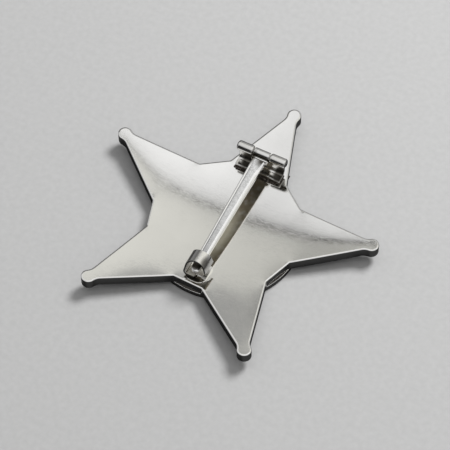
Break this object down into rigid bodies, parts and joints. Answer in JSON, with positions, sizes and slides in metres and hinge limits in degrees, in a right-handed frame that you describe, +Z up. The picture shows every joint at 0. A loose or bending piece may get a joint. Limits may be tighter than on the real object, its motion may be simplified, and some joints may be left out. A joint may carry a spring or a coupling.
{
  "type": "war medal",
  "caption": "Ball-tipped star medal lying face down, its dished polished back carrying a hinged brooch pin that closes into a rolled catch.",
  "frame": {"origin": "middle of the star, on the flat rest face of the front ring", "axes": "+Z up out of the medal's back, +Y along the arm that carries the hinge"},
  "size_m": [0.056, 0.0534, 0.0087],
  "materials": {
    "plated_star": "bright silver plate, polished",
    "rod_metal": "drawn wire, peened ends",
    "pin_metal": "bright plate with fine scratches"
  },
  "bodies": {
    "star": {"star_body": "plated_star", "hinge_rod": "rod_metal"},
    "pin": {"pin": "pin_metal"}
  },
  "joints": [
    {"name": "pin_hinge", "type": "hinge", "parent": "star", "child": "pin", "pos_m": [0, 0.01485, 0.0078], "axis": [-0.9997, -0.0262, 0], "range_deg": [0, 195]}
  ]
}
